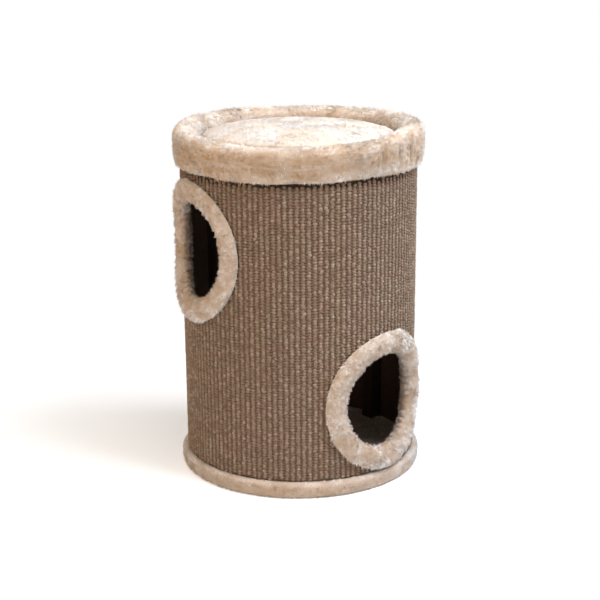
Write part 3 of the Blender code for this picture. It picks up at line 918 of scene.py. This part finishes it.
# Sisal: a ground sheet and its ribs of knots, laid out flat and then rolled onto the barrel
sisal = {
    "seam": 135.0, "gap": 0.0006, "ribs": 134, "rows": 104, "bottom": 0.0224, "top": 0.4285, "groundTop": 0.4356,
    "ground": 0.1631, "inside": 0.1596, "grid": (268, 108), "mapMargin": 0.005,
    "holeGround": 0.0805, "holeKnots": 0.0930, "hemGap": 0.0036, "rimShadowReach": 0.014,
    "knot": (0.00306, 0.00275, 0.00185), "swell": (0.82, 1.14), "turn": 15.0, "shift": 0.0004, "zigzag": 0.0002,
    "outOfStep": 0.9, "tint": (0.15, 0.85), "seed": 7,
}
girth = 2 * pi * barrel["radius"]
tall = sisal["groundTop"] - sisal["bottom"]


def fromHole(along, height):
    # How far a place on the flat sheet lies from the middle of the nearest entrance
    nearest = np.full(np.shape(along), girth)
    for entrance in entrances.values():
        middle = radians(entrance["azimuth"] - sisal["seam"]) % (2 * pi) * barrel["radius"]
        nearest = np.minimum(nearest, np.hypot(along - middle, height - entrance["height"]))
    return nearest


def sheetAngle(along):
    return radians(sisal["seam"]) + along / barrel["radius"]


def rollSheet(along, height, reach):
    angle = sheetAngle(along)
    return np.stack((reach * np.sin(angle), -reach * np.cos(angle), height), -1)


def mapSheet(mesh, along, height):
    flat = np.stack((along / girth, (height - sisal["bottom"]) / tall), -1)
    flat = flat[readNumbers(mesh.loops, "vertex_index")]
    setChart(mesh, sisal["mapMargin"] + (1 - 2 * sisal["mapMargin"]) * flat)


def weaveGround():
    length = girth - sisal["gap"]
    shape = bmesh.new()
    bmesh.ops.create_grid(shape, x_segments=sisal["grid"][0], y_segments=sisal["grid"][1], size=0.5)
    for corner in shape.verts:
        along = sisal["gap"] / 2 + (corner.co.x + 0.5) * length
        corner.co = Vector((along, sisal["bottom"] + (corner.co.y + 0.5) * tall, 0))
    inside = [face for face in shape.faces if fromHole(*face.calc_center_median().xy) < sisal["holeGround"]]
    bmesh.ops.delete(shape, geom=inside, context="FACES")
    piece = keepPiece("sisalGround", shape, sisalBase)
    places = readCoords(piece.data)
    mapSheet(piece.data, places[:, 0], places[:, 1])
    setPoints(piece.data, rollSheet(places[:, 0], places[:, 1], np.full(len(places), sisal["ground"])))
    addModifier(piece, "SOLIDIFY", thickness=sisal["ground"] - sisal["inside"], offset=-1.0)
    applyModifiers(piece)
    return piece


def weaveKnots():
    # One knot of yarn, repeated along the sheet and up it
    shape = bmesh.new()
    bmesh.ops.create_icosphere(shape, subdivisions=1, radius=1.0)
    bmesh.ops.scale(shape, vec=sisal["knot"], verts=shape.verts)
    points = len(shape.verts)
    piece = keepPiece("sisalWeave", shape, sisalYarn)
    pitch = girth / sisal["ribs"]
    rise = (sisal["top"] - sisal["bottom"]) / sisal["rows"]
    for count, offset in ((sisal["ribs"], (pitch, 0, 0)), (sisal["rows"], (0, rise, 0))):
        addModifier(
            piece, "ARRAY", count=count, use_relative_offset=False, use_constant_offset=True,
            constant_offset_displace=offset,
        )
    applyModifiers(piece)

    # Each knot is pulled a little out of line, swollen and turned
    chance = np.random.default_rng(sisal["seed"])
    knots = sisal["ribs"] * sisal["rows"]
    places = readCoords(piece.data).reshape(knots, points, 3)
    middles = places.mean(1, keepdims=True)
    local = (places - middles) * chance.uniform(*sisal["swell"], (knots, 1, 3))
    turn = np.radians(chance.normal(0, sisal["turn"], (knots, 1)))
    x = local[:, :, 0] * np.cos(turn) - local[:, :, 1] * np.sin(turn)
    y = local[:, :, 0] * np.sin(turn) + local[:, :, 1] * np.cos(turn)
    shift = chance.normal(0, sisal["shift"], (knots, 1, 2))
    shift[:, 0, 0] += np.repeat(np.resize((-1, 1), sisal["rows"]), sisal["ribs"]) * sisal["zigzag"]
    steps = chance.uniform(0, sisal["outOfStep"] * rise, sisal["ribs"])  # ribs stand out of step
    shift[:, 0, 1] += np.tile(steps, sisal["rows"])
    along = middles[:, :, 0] + pitch / 2 + x + shift[:, :, 0]
    height = middles[:, :, 1] + sisal["bottom"] + rise / 2 + y + shift[:, :, 1]
    reach = barrel["radius"] - sisal["knot"][2] + local[:, :, 2]
    mesh = piece.data
    mapSheet(mesh, along.ravel(), height.ravel())
    setPoints(mesh, rollSheet(along, height, reach).reshape(-1, 3))

    # Knots end at the entrances and under the rim, where a dark line of bare ground shows; their pale flecks fade out
    # towards the hem as a painted shadow under the rim
    along, height = along.mean(1), height.mean(1)
    ends = rim["bottom"] + hemLift(sheetAngle(along)) - sisal["hemGap"]
    gone = (fromHole(along, height) < sisal["holeKnots"]) | (height > ends)
    # Painted shadow: the knots' tint, and with it their pale flecks, falls to nothing at the hem
    outOfRimShadow = np.clip((ends - height) / sisal["rimShadowReach"], 0.0, 1.0)
    tint = np.repeat(chance.uniform(*sisal["tint"], knots), points) * np.repeat(outOfRimShadow, points)
    mesh.attributes.new("tint", "FLOAT", "POINT").data.foreach_set("value", tint.astype(np.float32))
    return piece, gone, along, points


def wrapSisal():
    ground = weaveGround()
    whole, gone, along, points = weaveKnots()
    weaves = []
    for name, left, right in (("sisalWeaveA", 0.0, 0.5), ("sisalWeaveB", 0.5, 1.1)):
        shape = bmesh.new()
        shape.from_mesh(whole.data)
        drop = gone | (along < left * girth) | (along >= right * girth)
        dropped = [corner for corner in shape.verts if drop[corner.index // points]]
        bmesh.ops.delete(shape, geom=dropped, context="VERTS")
        weaves.append(keepPiece(name, shape, sisalYarn))
    bpy.data.objects.remove(whole, do_unlink=True)
    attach(ground, "barrel")
    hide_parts("sisal_cover")
    for weave in weaves:
        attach(weave, "barrel")
    print("sisal", len(ground.data.polygons), [len(weave.data.polygons) for weave in weaves])


# Cushion: two round plush panels, sewn together and filled while a band round the seam is held
cushion = {
    "radius": 0.1330, "bottom": 0.4420, "seam": 0.4662, "top": 0.4808, "fullness": 3.2, "voxel": 0.005,
    "steps": 96, "mapSize": 2.1 * 0.136, "pressure": 4.0, "frames": 20, "quality": 4,
    "heldHeight": 0.004, "heldWidth": 0.006, "mostMove": 0.005, "highest": 0.4836,
    "seamWidth": 0.004, "seamDepth": 0.0005, "seamReach": 0.11, "fullPile": 0.012, "underPile": 0.3, "seamPile": 0.25,
    "pile": {
        "spacing": 0.00132, "length": 0.0031, "width": 0.0011, "stroke": 0.04, "swirl": 2.5, "lay": (0, 0, 0),
        "clump": 0.009, "gather": 0.9, "stray": 0.3, "soft": 0.62, "seed": 81,
    },
}


def cushionOutline():
    radius, seam, bottom = cushion["radius"], cushion["seam"], cushion["bottom"]
    power = 2 / cushion["fullness"]
    topSteps = 24
    outline = []
    for step in range(topSteps + 1):
        angle = pi / 2 * step / topSteps
        outline.append((radius * sin(angle) ** power, seam + (cushion["top"] - seam) * cos(angle) ** power))
    low = seam - bottom
    outline += arc((radius - low, seam), (low, low), 0, -90, steps=10)[1:]
    return outline + line((radius - low, bottom), (0.0, bottom), steps=12)


def sewCushion():
    outline = cushionOutline()
    shape = spinSkin(outline, [1.0] * len(outline), cushion["steps"])[0]
    piece = keepPiece("cushion", shape, creamGround)
    addModifier(piece, "REMESH", mode="VOXEL", voxel_size=cushion["voxel"])
    applyModifiers(piece)
    inflate(piece)
    addModifier(piece, "SUBSURF", levels=1, render_levels=1)
    applyModifiers(piece)
    mesh = piece.data
    mesh.shade_smooth()
    places = readCoords(mesh)
    reach = np.hypot(places[:, 0], places[:, 1])
    sewn = np.clip(1 - np.abs(places[:, 2] - cushion["seam"]) / cushion["seamWidth"], 0, 1)
    sewn *= reach > cushion["seamReach"]
    places[:, :2] *= (1 - cushion["seamDepth"] * sewn / np.maximum(reach, tiny))[:, None]
    setPoints(mesh, places)
    top = places[:, 2] > cushion["seam"] - cushion["fullPile"]
    thick = np.where(top, 1.0, cushion["underPile"]) * (1 - cushion["seamPile"] * sewn)  # the seam catches the pile
    mesh.attributes.new("pile", "FLOAT", "POINT").data.foreach_set("value", thick.astype(np.float32))
    mapCushion(mesh, places)
    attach(piece, "cushion")
    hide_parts("cushion_top", "cushion_bottom", "cushion_filling")
    nap = growPile("cushionPile", piece, creamPile, cushion["pile"])
    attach(nap, "cushion")
    print("cushion", len(mesh.polygons), len(nap.data.polygons))


def mapCushion(mesh, places):
    # Upper and lower panel side by side
    faces = mesh.polygons
    upper = np.repeat(readVectors(faces, "normal")[:, 2] > 0, readNumbers(faces, "loop_total"))
    flat = places[readNumbers(mesh.loops, "vertex_index"), :2] / cushion["mapSize"]
    flat[:, 0] = flat[:, 0] / 2 + np.where(upper, 0.25, 0.75)
    flat[:, 1] += 0.5
    setChart(mesh, flat)


def inflate(piece):
    # The filling presses the two panels out while their seam holds
    rest = readCoords(piece.data)
    held = piece.vertex_groups.new(name="seam")
    nearSeam = np.abs(rest[:, 2] - cushion["seam"]) < cushion["heldHeight"]
    outside = np.hypot(rest[:, 0], rest[:, 1]) > cushion["radius"] - cushion["heldWidth"]
    held.add(np.flatnonzero(nearSeam & outside).tolist(), 1.0, "REPLACE")
    cloth = addModifier(piece, "CLOTH")
    setAll(cloth.settings, {
        "use_pressure": True, "uniform_pressure_force": cushion["pressure"], "vertex_group_mass": "seam",
        "quality": cushion["quality"],
    })
    cloth.settings.effector_weights.gravity = 0.0
    setAll(cloth.point_cache, {"frame_start": 1, "frame_end": cushion["frames"]})
    scene = bpy.context.scene
    for step in range(1, cushion["frames"] + 1):
        scene.frame_set(step)
    applyModifiers(piece)
    scene.frame_set(1)
    moved = readCoords(piece.data) - rest
    far = np.linalg.norm(moved, axis=1, keepdims=True)
    moved *= np.minimum(1.0, cushion["mostMove"] / np.maximum(far, tiny))
    places = rest + moved
    places[:, 2] = np.clip(places[:, 2], cushion["bottom"], cushion["highest"])
    setPoints(piece.data, places)
    piece.vertex_groups.clear()


placeCamera()
lightStudio()
wrapSisal()
coverBase()
drawRim()
for name, entrance in entrances.items():
    wrapRoll(name, entrance)
for name in ("base_screw_front", "base_screw_seam", "base_screw_back"):
    driveScrew(name)
layBed()
sewCushion()
